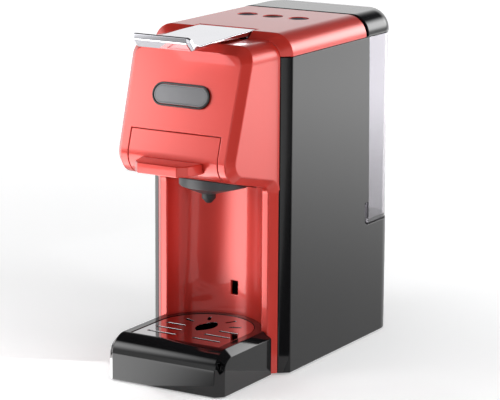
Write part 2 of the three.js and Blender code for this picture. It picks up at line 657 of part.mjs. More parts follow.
// ---- Buttons ----
function addButtons() {
  const looks = [["left", BUTTON_BLUE], ["middle", BUTTON_BROWN], ["right", BUTTON_BLUE]];
  looks.forEach(([name, look], i) => {
    const x = BUTTON_PLACES[i];
    add(`button_${name}`, turned([x, BUTTON_Y], [
      [0, 270.3], [9.8, 270.3], [9.8, 272.3], [BUTTON_RADIUS, 272.3], [BUTTON_RADIUS, 276.8],
      [7.4, 277.4], [0, 277.4],
    ], 28), look);
  });
  const board = box([-45, 45], [156, 182], [262, 263.6]);
  const switches = BUTTON_PLACES.map((x) => box([x - 3, x + 3], [166, 172], [263, 268.6]));
  add("button_board", join(board, ...switches), CIRCUIT_GREEN);
}

// ---- Water and power inside the body ----
function addPump() {
  add("pump", turned(PUMP, [
    [0, 24], [4, 24], [4, 34], [13, 34], [13, 54], [24, 54], [24, 108], [13, 108], [13, 128],
    [5, 128], [5, 138], [0, 138],
  ], 28), DARK_GREY);
  add("pump_mount_lower", ring(PUMP, 13.4, 20, [40, 46], 24), RUBBER);
  add("pump_mount_upper", ring(PUMP, 13.4, 20, [111, 117], 24), RUBBER);
}

function addBoiler() {
  const block = box([-32, 32], [118, 183], [172, 212]);
  const feet = [-32, 32].map((x) => box([x - 4, x + 4], [122, 178], [166, 180]));
  const fins = [-24, -12, 0, 12, 24].map((x) => box([x - 2, x + 2], [120, 181], [210, 220]));
  add("boiler", join(block, ...feet, ...fins), ALUMINIUM);
}

function addElectronics() {
  const blocks = [
    box([41, 49], [132, 150], [70, 86]), box([43, 49], [158, 176], [72, 84]),
    box([42, 49], [138, 158], [104, 126]), box([44, 49], [170, 188], [110, 134]),
  ];
  add("control_board", join(box([48, 49.6], [126, 196], [60, 146]), ...blocks), CIRCUIT_GREEN);
}

function addHoses() {
  const meter = join(bar("z", FLOW_METER, 14, [40, 56]), bar("z", FLOW_METER, 7, [55, 61], 16));
  add("flow_meter", meter, WHITE_PLASTIC);
  add("hose_tank", hose([
    [0, VALVE_Y, 79.6], [0, VALVE_Y, 62], [10, 226, 50], [22, 209.5, 48], [30, 200, 48],
    [30, 194.5, 48],
  ]), HOSE_WHITE);
  add("hose_flow_meter", hose([
    [...FLOW_METER, 39.6], [30, 179, 22], [16, 175, 10.5], [-8, 168, 9.4], [-20, 165.6, 13],
    [...PUMP, 18], [...PUMP, 23.2],
  ]), HOSE_WHITE);
  add("hose_pump", hose([[...PUMP, 138.4], [-22.6, 165, 153], [...PUMP, 171.6]]), HOSE_WHITE);
  add("hose_boiler", hose([
    [0, 117.2, 190], [0, 110, 191], [0, 101, 204], [0, 97, 216], [0, 90.4, 217],
  ], 2.5), HOSE_WHITE);
}

addFrontShell();
addTopCover();
addHeadUnderside();
addOutlet();
addBadge();
addRearBody();
addRearWall();
addBase();
addDock();
addChassis();
addTank();
addLid();
addDripTray();
addGrille();
addLever();
addLeverBracket();
addBrewGroup();
addDrawer();
addButtons();
addPump();
addBoiler();
addElectronics();
addHoses();

machine.position.y = -(HANDLE_FRONT + REAR) / 2;
const part = new THREE.Group();
part.add(machine);

export default part;
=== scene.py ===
import json
import math

import bmesh
import bpy
from mathutils import Matrix, Vector


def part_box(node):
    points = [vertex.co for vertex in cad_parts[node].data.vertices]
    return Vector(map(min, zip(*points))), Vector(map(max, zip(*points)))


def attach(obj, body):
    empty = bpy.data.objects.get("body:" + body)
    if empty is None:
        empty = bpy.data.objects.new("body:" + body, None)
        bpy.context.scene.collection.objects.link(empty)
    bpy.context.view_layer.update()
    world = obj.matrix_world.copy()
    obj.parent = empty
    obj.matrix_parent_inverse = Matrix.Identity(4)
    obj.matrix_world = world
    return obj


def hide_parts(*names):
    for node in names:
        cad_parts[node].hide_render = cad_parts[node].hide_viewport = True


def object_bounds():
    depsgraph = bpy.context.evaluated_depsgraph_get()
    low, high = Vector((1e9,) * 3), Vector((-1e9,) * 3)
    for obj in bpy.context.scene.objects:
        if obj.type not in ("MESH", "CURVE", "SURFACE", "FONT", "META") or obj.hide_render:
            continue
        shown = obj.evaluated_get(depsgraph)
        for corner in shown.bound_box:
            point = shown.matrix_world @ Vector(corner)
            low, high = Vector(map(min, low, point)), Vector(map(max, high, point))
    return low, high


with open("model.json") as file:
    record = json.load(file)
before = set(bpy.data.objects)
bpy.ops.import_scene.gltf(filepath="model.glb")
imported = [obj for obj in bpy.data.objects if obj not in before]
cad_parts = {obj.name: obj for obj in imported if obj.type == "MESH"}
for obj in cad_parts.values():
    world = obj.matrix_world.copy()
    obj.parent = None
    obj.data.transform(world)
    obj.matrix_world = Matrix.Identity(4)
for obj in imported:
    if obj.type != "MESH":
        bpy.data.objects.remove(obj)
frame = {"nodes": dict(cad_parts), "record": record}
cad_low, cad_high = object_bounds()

# Shapes are drawn in millimetres, +Z up, with y = 0 at the foot of the drip tray.
# to_frame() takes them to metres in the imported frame.
MM = 0.001


def low(node):
    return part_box(node)[0] / MM


def high(node):
    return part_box(node)[1] / MM


# ---- Driving dimensions, taken from the frame where it has them ----
HANDLE_REACH = 7.5  # the drawer handle stands this far in front of the drip tray's foot
ORIGIN_Y = low("drawer_handle").y + HANDLE_REACH
HANDLE_FRONT = -HANDLE_REACH
GAP = 0.3
WALL = 2.6
BEVEL = 6.3  # 45 degree band that runs round head, column and tray
HALF_WIDTH = high("rear_body").x
SHELL_FOOT = low("rear_body").z
BODY_TOP = high("rear_body").z
TOP = high("tank_lid").z
REAR = high("rear_body").y - ORIGIN_Y
HEAD_HALF_WIDTH = 57.5  # at the rear of the head
HEAD_DRAFT = 0.0009  # the head narrows forwards by this share per millimetre
HEAD_TOP = 272.4
HEAD_SHOULDER = 14.5
HEAD_REAR = 82.8
LEAN = 0.3053  # the head's front: millimetres back per millimetre up
LEAN_HEIGHT = 212
LEAN_Y = 29
NICHE_Y = 62
NICHE_RADIUS = 47.5
NICHE_TOP = 155
ROOF_SHOULDER = 17.5
ROOF_FOOT = low("top_cover").z
ROOF_REAR = high("top_cover").y - ORIGIN_Y
BREW_Y = (low("pod_holder").y + high("pod_holder").y) / 2 - ORIGIN_Y
DRAWER_HALF_WIDTH = high("drawer_front").x
DRAWER_TOP = high("drawer_front").z
DRAWER_REAR = 38
LEVER_HALF_WIDTH = high("lever").x
LEVER_SLOT = LEVER_HALF_WIDTH + 0.8
LEVER_AXIS = (82, 266)  # y, z
BUTTON_RADIUS = 8
BUTTON_SPACING = 24.5
BUTTON_Y = 169
CORNER_X, CORNER_Y, CORNER_RADIUS = 41, 246, 24  # the body's rear corners seen from above
BOW_RADIUS = 236.1
TANK_FOOT = 100.3
TANK_TOP = high("water_tank").z
VALVE_Y = 240
LID_FRONT = low("tank_lid").y - ORIGIN_Y
LID_FOOT = low("tank_lid").z
TRAY_HALF_WIDTH = high("drip_tray").x
GRILLE_RADIUS = 40.8
GRILLE_FRONT = 18

SMOOTH = 16  # steps in a quarter turn
EDGE_ANGLE = math.radians(24)


def to_frame(x, y, z):
    return Vector((x, y + ORIGIN_Y, z)) * MM


# ---- Outlines ----
def arc(cu, cv, radius, start, stop, steps=SMOOTH):
    turns = [math.radians(start + (stop - start) * i / steps) for i in range(steps + 1)]
    return [(cu + radius * math.cos(t), cv + radius * math.sin(t)) for t in turns]


def rounded(corners, steps=10):
    """An outline with round corners. A sharp corner is (u, v) and a round one (u, v, radius)."""
    outline = []
    for i, corner in enumerate(corners):
        here = Vector(corner[:2])
        if len(corner) == 2:
            outline.append(tuple(here))
            continue
        radius = corner[2]
        before = (Vector(corners[i - 1][:2]) - here).normalized()
        after = (Vector(corners[(i + 1) % len(corners)][:2]) - here).normalized()
        half = before.angle(after) / 2
        centre = here + (before + after).normalized() * radius / math.sin(half)
        reach = radius / math.tan(half)
        first = here + before * reach - centre
        last = here + after * reach - centre
        start = math.atan2(first.y, first.x)
        turn = (math.atan2(last.y, last.x) - start + math.pi) % (2 * math.pi) - math.pi
        for step in range(steps + 1):
            angle = start + turn * step / steps
            outline.append((centre.x + radius * math.cos(angle), centre.y + radius * math.sin(angle)))
    return outline


def grown(outline, distance):
    """A counterclockwise outline with every side moved outward."""
    result = []
    for i, point in enumerate(outline):
        here = Vector(point)
        come = (here - Vector(outline[i - 1])).normalized()
        go = (Vector(outline[(i + 1) % len(outline)]) - here).normalized()
        side_in = Vector((come.y, -come.x))
        side_out = Vector((go.y, -go.x))
        result.append(tuple(here + (side_in + side_out) * distance / (1 + side_in.dot(side_out))))
    return result


def arch(half_width, top, shoulder, bottom):
    """Front view of roof, head or lid: upright sides and a flat top with round shoulders."""
    right = arc(half_width - shoulder, top - shoulder, shoulder, 0, 90)
    left = arc(-half_width + shoulder, top - shoulder, shoulder, 90, 180)
    return [(-half_width, bottom), (half_width, bottom), *right, *left]


CORNER_END = math.degrees(math.atan2(CORNER_Y - REAR + BOW_RADIUS, CORNER_X))


def plan(inset, front):
    """The body seen from above, inset by a wall."""
    side = HALF_WIDTH - inset
    radius = CORNER_RADIUS - inset
    right = arc(CORNER_X, CORNER_Y, radius, 0, CORNER_END)
    bow = arc(0, REAR - BOW_RADIUS, BOW_RADIUS - inset, CORNER_END, 180 - CORNER_END, 12)[1:-1]
    left = arc(-CORNER_X, CORNER_Y, radius, 180 - CORNER_END, 180)
    return [(-side, front), (side, front), *right, *bow, *left]


def half_width_at(y, inset):
    """Half the body's width at a given y."""
    radius = CORNER_RADIUS - inset
    if y <= CORNER_Y:
        return HALF_WIDTH - inset
    if y <= CORNER_Y + radius * math.sin(math.radians(CORNER_END)):
        return CORNER_X + math.sqrt(radius**2 - (y - CORNER_Y) ** 2)
    return math.sqrt(max(0.01, (BOW_RADIUS - inset) ** 2 - (y - REAR + BOW_RADIUS) ** 2))


# ---- Solids: Blender objects that are cut and joined before they become pieces ----
PLACES = {
    "x": lambda u, v, d: (d, u, v),
    "y": lambda u, v, d: (v, d, u),
    "z": lambda u, v, d: (u, v, d),
}


def as_object(points, faces):
    mesh = bpy.data.meshes.new("solid")
    mesh.from_pydata([to_frame(*p) for p in points], [], faces)
    shape = bmesh.new()
    shape.from_mesh(mesh)
    bmesh.ops.remove_doubles(shape, verts=shape.verts, dist=0.002 * MM)
    bmesh.ops.recalc_face_normals(shape, faces=shape.faces)
    shape.to_mesh(mesh)
    shape.free()
    obj = bpy.data.objects.new("solid", mesh)
    bpy.context.scene.collection.objects.link(obj)
    return obj


def loft(sections):
    """A solid through sections of equally many points."""
    count = len(sections[0])
    faces = [tuple(reversed(range(count)))]
    for level in range(len(sections) - 1):
        for i in range(count):
            a = level * count + i
            b = level * count + (i + 1) % count
            faces.append((a, b, b + count, a + count))
    faces.append(tuple(range(len(sections) * count - count, len(sections) * count)))
    return as_object([p for section in sections for p in section], faces)


def prism(axis, outline, start, stop):
    return loft([[PLACES[axis](u, v, d) for u, v in outline] for d in (start, stop)])


def box(x, y, z):
    return prism("z", [(x[0], y[0]), (x[1], y[0]), (x[1], y[1]), (x[0], y[1])], *z)


def bar(axis, centre, radius, start, stop, steps=64):
    return prism(axis, arc(*centre, radius, 0, 360, steps)[:-1], start, stop)


def turned(centre, profile, steps=96):
    """A turned piece on an upright axis. profile holds (radius, height) pairs, from axis to axis."""
    rims = [p for p in profile if p[0] > 0]
    points = [(centre[0], centre[1], profile[0][1]), (centre[0], centre[1], profile[-1][1])]
    for radius, height in rims:
        circle = arc(*centre, radius, 0, 360, steps)[:-1]
        points.extend((x, y, height) for x, y in circle)
    faces = []
    for i in range(steps):
        j = (i + 1) % steps
        faces.append((0, 2 + j, 2 + i))
        for rim in range(len(rims) - 1):
            a = 2 + rim * steps
            faces.append((a + i, a + j, a + steps + j, a + steps + i))
        last = 2 + (len(rims) - 1) * steps
        faces.append((1, last + i, last + j))
    return as_object(points, faces)


def apply_modifiers(obj):
    bpy.context.view_layer.update()
    graph = bpy.context.evaluated_depsgraph_get()
    mesh = bpy.data.meshes.new_from_object(obj.evaluated_get(graph))
    obj.modifiers.clear()
    obj.data = mesh
    return obj


def combine(base, operation, tools):
    for tool in tools:
        step = base.modifiers.new("step", "BOOLEAN")
        step.operation = operation
        step.solver = "EXACT"
        step.object = tool
        apply_modifiers(base)
        bpy.data.objects.remove(tool)
    return base


def cut(base, *tools):
    return combine(base, "DIFFERENCE", tools)


def join(base, *others):
    return combine(base, "UNION", others)


def overlap(base, *others):
    return combine(base, "INTERSECT", others)


def merge_flat_faces(obj):
    shape = bmesh.new()
    shape.from_mesh(obj.data)
    bmesh.ops.remove_doubles(shape, verts=shape.verts, dist=0.004 * MM)
    bmesh.ops.dissolve_limit(shape, angle_limit=math.radians(0.4), verts=shape.verts, edges=shape.edges)
    shape.to_mesh(obj.data)
    shape.free()


def shade(mesh, angle=EDGE_ANGLE):
    mesh.shade_smooth()
    mesh.set_sharp_from_angle(angle=angle)


def soften(obj, radius, steps=3):
    """Rounds every sharp edge, as a mould does. No corner ends up outside the solid's box."""
    corners = [Vector(c) for c in obj.bound_box]
    least = [min(c[i] for c in corners) for i in range(3)]
    most = [max(c[i] for c in corners) for i in range(3)]
    bevel = obj.modifiers.new("soft_edges", "BEVEL")
    bevel.width = radius * MM
    bevel.segments = steps
    bevel.limit_method = "ANGLE"
    bevel.angle_limit = EDGE_ANGLE
    bevel.use_clamp_overlap = False
    bevel.harden_normals = False
    apply_modifiers(obj)
    for vertex in obj.data.vertices:
        vertex.co = [min(max(c, least[i]), most[i]) for i, c in enumerate(vertex.co)]
    weigh = obj.modifiers.new("even_light", "WEIGHTED_NORMAL")
    weigh.keep_sharp = True
    weigh.weight = 80
    return obj


def piece(obj, name, body, look, replaces=(), radius=0.7, steps=3):
    """Makes a solid one of the object's pieces."""
    merge_flat_faces(obj)
    shade(obj.data)
    if radius:
        soften(obj, radius, steps)
        shade(obj.data, math.radians(40))
    obj.name = name
    obj.data.name = name
    obj.data.materials.clear()
    obj.data.materials.append(look)
    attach(obj, body)
    if replaces:
        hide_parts(*replaces)
    return obj


# ---- Materials ----
def node(tree, kind, **values):
    made = tree.nodes.new(kind)
    for key, value in values.items():
        if key in made.inputs:
            made.inputs[key].default_value = value
        else:
            setattr(made, key, value)
    return made


def map_range(tree, source, target, **settings):
    """Takes the span source to the span target."""
    ends = dict(zip(("From Min", "From Max", "To Min", "To Max"), (*source, *target)))
    return node(tree, "ShaderNodeMapRange", **ends, **settings)


def surface(name, color, roughness, tint=0.06, grain=40.0, bump=0.0, bump_grain=2500.0, **sockets):
    """A moulded, cast or painted finish: its colour and roughness drift a little, over a fine texture.

    tint is the share by which the colour drifts, grain its cells per metre, and bump the height in
    millimetres."""
    look = bpy.data.materials.new(name)
    look.use_nodes = True
    tree = look.node_tree
    shader = tree.nodes["Principled BSDF"]
    place = node(tree, "ShaderNodeTexCoord")
    drift = node(tree, "ShaderNodeTexNoise", Scale=grain, Detail=3.0, Roughness=0.55)
    tree.links.new(place.outputs["Object"], drift.inputs["Vector"])
    shades = node(tree, "ShaderNodeValToRGB")
    for stop, share in ((0, 1 - tint), (1, 1 + tint)):
        shades.color_ramp.elements[stop].color = (*(min(1.0, c * share) for c in color), 1)
    shades.color_ramp.elements[0].position = 0.3
    shades.color_ramp.elements[1].position = 0.7
    tree.links.new(drift.outputs["Fac"], shades.inputs["Fac"])
    tree.links.new(shades.outputs["Color"], shader.inputs["Base Color"])
    wear = map_range(tree, (0, 1), (roughness * 0.88, min(1.0, roughness * 1.12)))
    tree.links.new(drift.outputs["Fac"], wear.inputs["Value"])
    tree.links.new(wear.outputs["Result"], shader.inputs["Roughness"])
    if bump:
        fine = node(tree, "ShaderNodeTexNoise", Scale=bump_grain, Detail=2.0)
        relief = node(tree, "ShaderNodeBump", Strength=1.0, Distance=bump * MM)
        tree.links.new(place.outputs["Object"], fine.inputs["Vector"])
        tree.links.new(fine.outputs["Fac"], relief.inputs["Height"])
        tree.links.new(relief.outputs["Normal"], shader.inputs["Normal"])
    for socket, value in sockets.items():
        shader.inputs[socket.replace("_", " ")].default_value = value
    return look


def red_gloss():
    """Coral red lacquer with a pearl effect under a clear coat."""
    look = surface("red_gloss", (0.60, 0.033, 0.021), 0.33, tint=0.03, grain=9.0, bump=0.0015,
                   bump_grain=420.0)
    shader = look.node_tree.nodes["Principled BSDF"]
    shader.inputs["Metallic"].default_value = 0.35
    shader.inputs["Specular IOR Level"].default_value = 0.6
    shader.inputs["Coat Weight"].default_value = 0.6
    shader.inputs["Coat Roughness"].default_value = 0.04
    return look


def black_gloss():
    return surface("black_gloss", (0.0045, 0.0045, 0.005), 0.08, tint=0.2, grain=12.0, bump=0.001,
                   bump_grain=300.0, Specular_IOR_Level=0.38, Coat_Weight=0.12, Coat_Roughness=0.03)


def black_matte():
    return surface("black_matte", (0.014, 0.014, 0.015), 0.55, tint=0.15, bump=0.02)


def dark_grey():
    return surface("dark_grey", (0.050, 0.051, 0.055), 0.38, tint=0.1, bump=0.01)


def chrome():
    return surface("chrome", (0.72, 0.72, 0.76), 0.06, tint=0.02, grain=14.0, Metallic=1.0)


def steel():
    return surface("steel", (0.48, 0.48, 0.50), 0.28, bump=0.002, Metallic=1.0)


def grille_steel():
    return surface("grille_steel", (0.45, 0.43, 0.44), 0.07, tint=0.03, grain=20.0, Metallic=1.0)


def aluminium():
    return surface("aluminium", (0.43, 0.44, 0.46), 0.38, bump=0.008, Metallic=1.0)


def clear_grey():
    """Smoke-tinted tank plastic, its colour darker towards the bottom."""
    look = surface("clear_grey", (0.78, 0.76, 0.81), 0.06, tint=0.02, grain=15.0,
                   Transmission_Weight=0.9, IOR=1.45)
    tree = look.node_tree
    split = node(tree, "ShaderNodeSeparateXYZ")
    rise = node(tree, "ShaderNodeMapRange", interpolation_type="SMOOTHSTEP")
    for socket, value in (("From Min", 0.105), ("From Max", 0.215), ("To Min", 0.62), ("To Max", 1.0)):
        rise.inputs[socket].default_value = value
    shade_by = node(tree, "ShaderNodeVectorMath", operation="SCALE")
    shader = tree.nodes["Principled BSDF"]
    plain = shader.inputs["Base Color"].links[0].from_socket
    tree.links.new(tree.nodes["Texture Coordinate"].outputs["Object"], split.inputs["Vector"])
    tree.links.new(split.outputs["Z"], rise.inputs["Value"])
    tree.links.new(plain, shade_by.inputs[0])
    tree.links.new(rise.outputs["Result"], shade_by.inputs["Scale"])
    tree.links.new(shade_by.outputs["Vector"], shader.inputs["Base Color"])
    return look


def rubber():
    return surface("rubber", (0.018, 0.018, 0.020), 0.85, bump=0.03)


def white_plastic():
    return surface("white_plastic", (0.68, 0.68, 0.66), 0.5, bump=0.01)


def circuit():
    return surface("circuit", (0.014, 0.15, 0.045), 0.42, tint=0.3, grain=160.0)


def hose():
    return surface("hose", (0.75, 0.72, 0.63), 0.45, Transmission_Weight=0.2)


def badge_grey():
    """Satin metal, brushed along its length."""
    look = surface("badge_grey", (0.13, 0.13, 0.135), 0.34, tint=0.08, Metallic=0.85)
    tree = look.node_tree
    stretch = node(tree, "ShaderNodeMapping")
    stretch.inputs["Scale"].default_value = (60, 3500, 3500)
    lines = node(tree, "ShaderNodeTexNoise", Scale=1.0, Detail=2.0)
    relief = node(tree, "ShaderNodeBump", Strength=0.5, Distance=0.004 * MM)
    tree.links.new(tree.nodes["Texture Coordinate"].outputs["Object"], stretch.inputs["Vector"])
    tree.links.new(stretch.outputs["Vector"], lines.inputs["Vector"])
    tree.links.new(lines.outputs["Fac"], relief.inputs["Height"])
    tree.links.new(relief.outputs["Normal"], tree.nodes["Principled BSDF"].inputs["Normal"])
    return look


def button_blue():
    return surface("button_blue", (0.012, 0.014, 0.036), 0.42, tint=0.15, Specular_IOR_Level=0.15)


def button_brown():
    return surface("button_brown", (0.050, 0.012, 0.010), 0.42, tint=0.15, Specular_IOR_Level=0.15)


LOOKS = {
    make.__name__: make()
    for make in (red_gloss, black_gloss, black_matte, dark_grey, chrome, steel, grille_steel, aluminium,
                 clear_grey, rubber, white_plastic, circuit, hose, badge_grey, button_blue, button_brown)
}

# ---- Head and column ----
SIDE_FACE = rounded([
    (100, -20), (100, 300), (55.9, 300), (17.9, 175.5, 11.2), (83, 160.55, 14), (83, -20),
])


def drafted(x, y, z):
    return (x * (1 - HEAD_DRAFT * (HEAD_REAR - y)), y, z)


def head_block(inset):
    """Head and column as one block, inset by a wall. A 45 degree band lies between sides and front."""
    band = BEVEL - inset * (2 - math.sqrt(2))
    outward = BEVEL - inset
    face = HEAD_HALF_WIDTH - inset
    outer = grown(SIDE_FACE, outward)
    inner = grown(SIDE_FACE, outward - band)
    ends = [(inner, -face), (outer, -face + band), (outer, face - band), (inner, face)]
    profile = loft([[drafted(x, y, z) for y, z in outline] for outline, x in ends])
    step = math.hypot(1, LEAN)
    shoulder = HEAD_SHOULDER - inset
    wide = arch(face, HEAD_TOP - inset, shoulder, -30)
    narrow = arch(face - band, HEAD_TOP - inset - band, shoulder - band, -30)

    def leaning(outline, ahead):
        return [drafted(x, LEAN_Y + (z - LEAN_HEIGHT) * LEAN - 0.1 - ahead * step, z)
                for x, z in outline]

    behind = [drafted(x, 120, z) for x, z in wide]
    return overlap(loft([leaning(narrow, outward), leaning(wide, outward - band), behind]), profile)


def niche(extra, bottom, top):
    return bar("z", (0, NICHE_Y), NICHE_RADIUS + extra, bottom, top, 128)


def make_front_shell():
    room = box((-90, 90), (-60, HEAD_REAR), (SHELL_FOOT, 300))
    bulge = overlap(niche(WALL, SHELL_FOOT, NICHE_TOP + WALL), box((-60, 60), (78, 130), (0, 300)))
    outer = overlap(head_block(0), room)
    hollow = cut(head_block(WALL), niche(WALL, -30, NICHE_TOP + WALL))
    opening = DRAWER_HALF_WIDTH + 0.4
    shell = cut(
        join(cut(outer, hollow), bulge),
        niche(0, -30, NICHE_TOP),
        box((-opening, opening), (-60, DRAWER_REAR + GAP), (140, DRAWER_TOP + GAP)),
        box((-opening, opening), (DRAWER_REAR, 76.4), (NICHE_TOP, 180)),
        box((-LEVER_SLOT, LEVER_SLOT), (76, 90), (262, 300)),
        box((-3, 3), (100, 120), (53.5, 65)),
    )
    piece(shell, "front_shell_fine", "root", LOOKS["red_gloss"], ["front_shell"], 0.8)


def make_drawer():
    width = (-DRAWER_HALF_WIDTH, DRAWER_HALF_WIDTH)
    panel = overlap(head_block(0), box(width, (-60, DRAWER_REAR), (140, DRAWER_TOP)))
    panel = cut(panel, head_block(WALL))
    piece(panel, "drawer_front_fine", "pod_drawer", LOOKS["red_gloss"], ["drawer_front"], 0.5)
    outline = rounded([(28, 30), (-28, 30), (-28, 12), (-24.5, -1, 2.5), (-18, HANDLE_FRONT, 1.5),
                       (18, HANDLE_FRONT, 1.5), (24.5, -1, 2.5), (28, 12)], 6)
    grip = cut(prism("z", outline, 174.6, 183.2), head_block(-GAP / 2))
    piece(grip, "drawer_handle_fine", "pod_drawer", LOOKS["red_gloss"],
          ["drawer_handle"], 1.1, 4)


def make_top_cover():
    front = HEAD_REAR + GAP
    wide = arch(HALF_WIDTH, TOP, ROOF_SHOULDER, ROOF_FOOT)
    narrow = arch(HEAD_HALF_WIDTH, HEAD_TOP, 14, 257)
    outer = loft([[(x, y, z) for x, z in outline]
                  for outline, y in ((narrow, front), (wide, front + 6.5), (wide, ROOF_REAR))])
    deep = arch(62.4, 275.4, 15, 240)
    inner = loft([[(x, y, z) for x, z in outline]
                  for outline, y in ((arch(51.8, 266.4, 9, 240), 80), (deep, 90.7), (deep, 230))])
    tools = [inner, box((-90, 90), (60, 230), (200, ROOF_FOOT)),
             box((-LEVER_SLOT, LEVER_SLOT), (60, 99.3), (250, 300))]
    tools += [bar("z", (x, BUTTON_Y), BUTTON_RADIUS + 0.4, 260, 300)
              for x in (-BUTTON_SPACING, 0, BUTTON_SPACING)]
    cover = cut(outer, *tools)
    piece(cover, "top_cover_fine", "root", LOOKS["red_gloss"], ["top_cover"], 0.6)


def make_buttons():
    buttons = (("left", "button_blue"), ("middle", "button_brown"), ("right", "button_blue"))
    for i, (name, look) in enumerate(buttons):
        x = (i - 1) * BUTTON_SPACING
        dish = [(BUTTON_RADIUS - 1.0 - 0.6 * k, 277.4 - 0.5 * math.sin(math.pi * k / 20))
                for k in range(10)]
        profile = [(0, 270.3), (9.8, 270.3), (9.8, 272.3), (BUTTON_RADIUS, 272.3),
                   *[(BUTTON_RADIUS - 0.8 + u, 276.6 + v) for u, v in arc(0, 0, 0.8, 0, 90, 6)],
                   *dish, (0, 276.9)]
        button = turned((x, BUTTON_Y), profile)
        piece(button, f"button_{name}_fine", f"button_{name}", LOOKS[look], [f"button_{name}"], 0)


# ---- Body, tank and lid ----
def make_rear_body():
    foot = HEAD_HALF_WIDTH + 0.1
    front = HEAD_REAR + GAP
    outline = [(-HALF_WIDTH, 89.6), (-foot, front), (foot, front), (HALF_WIDTH, 89.6)]
    outline += plan(0, 90)[2:]
    inside = HALF_WIDTH - WALL
    hollow = [(-inside, 90.7), (-54, 82.2), (-54, 70), (54, 70), (54, 82.2), (inside, 90.7)]
    hollow += plan(WALL, 90.7)[2:]
    bay = rounded([(214.6, 99.2, 5), (300, 99.2), (300, 280), (217.4, 280), (221.4, 118.6),
                   (214.6, 118.6)])
    shell = cut(
        prism("z", outline, SHELL_FOOT, BODY_TOP), prism("z", hollow, -10, 300),
        prism("x", bay, -90, 90), bar("y", (24, 38), 7.3, 255, 290),
    )
    piece(shell, "rear_body_fine", "root", LOOKS["black_gloss"], ["rear_body"], 0.6)


def make_tank():
    """The tank's foot reaches forward between the body's side walls, and is narrower there."""
    foot_top = 117.6

    def block(inset, floor, slope, top):
        return overlap(prism("z", plan(inset, 200), floor, top), prism("x", rounded(slope), -90, 90))

    face = [(222.2, 90), (290, 90), (290, 280), (217.9, 280), (221.8, foot_top)]
    foot = [(221, 90), (240, 90), (240, 280), (215.3, 280), (215.3, 103.5, 4)]
    outer = join(block(0.6, TANK_FOOT, face, TANK_TOP), block(WALL + 0.5, TANK_FOOT, foot, foot_top))
    face_inside = [(224.2, 90), (290, 90), (290, 280), (220.1, 280)]
    foot_inside = [(217.6, 90), (240, 90), (240, 280), (217.6, 280)]
    floor_inside = TANK_FOOT + 2.7
    inner = join(block(2.8, floor_inside, face_inside, 300),
                 block(WALL + 2.7, floor_inside, foot_inside, foot_top - 2.2))
    neck = bar("z", (0, VALVE_Y), 9.8, 91.5, TANK_FOOT + 1)
    tank = cut(join(cut(outer, inner), neck), bar("z", (0, VALVE_Y), 5.5, 80, 110))
    piece(tank, "water_tank_fine", "tank", LOOKS["clear_grey"], ["water_tank"], 0.5)


LID_ROUNDING = 12
LID_WALL = 2.4


def lid_block(inset, foot, front):
    """The lid follows the body's plan, and its top falls away in a round edge at the rear."""
    corner = [CORNER_Y + CORNER_RADIUS * math.sin(math.radians(a)) for a in range(0, 79, 6)]
    stations = [front, *(y - inset * (y > CORNER_Y) for y in (*corner, 270.4, 271.4, 272.3, 273, 273.4))]
    sections = []
    radius = LID_ROUNDING - inset
    for y in stations:
        past = max(0, y - (REAR - LID_ROUNDING))
        top = TOP - inset - (radius - math.sqrt(max(0, radius**2 - past**2)))
        shoulder = min(ROOF_SHOULDER - inset, (top - foot) * 0.92)
        sections.append([(x, y, z) for x, z in arch(half_width_at(y, inset), top, shoulder, foot)])
    return loft(sections)


def make_lid():
    lid = cut(lid_block(0, LID_FOOT, LID_FRONT), lid_block(LID_WALL, 255, LID_FRONT + LID_WALL))
    piece(lid, "tank_lid_fine", "tank_lid", LOOKS["black_gloss"], ["tank_lid"], 0.5)


# ---- Drip tray ----
def tongue(half_width, front, radius):
    return [(-half_width, front), (half_width, front), *arc(0, NICHE_Y, radius, 0, 180, 64)]


def make_tray():
    band = 6
    side = rounded([(130, -20), (130, 31.1), (6.3, 31.1, 11), (6.3, -20)])
    wide = grown(side, band)
    half = TRAY_HALF_WIDTH
    ends = [(side, -half), (wide, -half + band), (wide, half - band), (side, half)]
    profile = loft([[(x, y, z) for y, z in outline] for outline, x in ends])
    front = prism("z", [(-70, -10), (70, -10), (70, 78.3), (53, 78.3), (50.7, 76.2), (-50.7, 76.2),
                        (-53, 78.3), (-70, 78.3)], 0.9, 60)
    rear = NICHE_RADIUS - GAP
    body = overlap(profile, join(front, prism("z", tongue(rear, 60, rear), 0.9, 60)))
    seat = GRILLE_RADIUS + 0.4
    tray = cut(
        body,
        prism("z", tongue(seat, GRILLE_FRONT - 0.4, seat), 34.3, 60),
        prism("z", tongue(38.5, GRILLE_FRONT + 2, 38.5), 10, 60),
        box((-51, 51), (3.5, 73), (3.5, 28)),
        prism("z", tongue(44.5, 60, 44.5), 3.5, 31.5),
    )
    piece(tray, "drip_tray_fine", "drip_tray", LOOKS["black_gloss"], ["drip_tray"], 0.5)


def slot(centre, length, turn, width=2.8):
    end, radius = length / 2 - width / 2, width / 2
    outline = arc(end, 0, radius, -90, 90, 12) + arc(-end, 0, radius, 90, 270, 12)
    x, y = centre
    c, s = math.cos(turn), math.sin(turn)
    return prism("z", [(x + u * c - v * s, y + u * s + v * c) for u, v in outline], 30, 40)


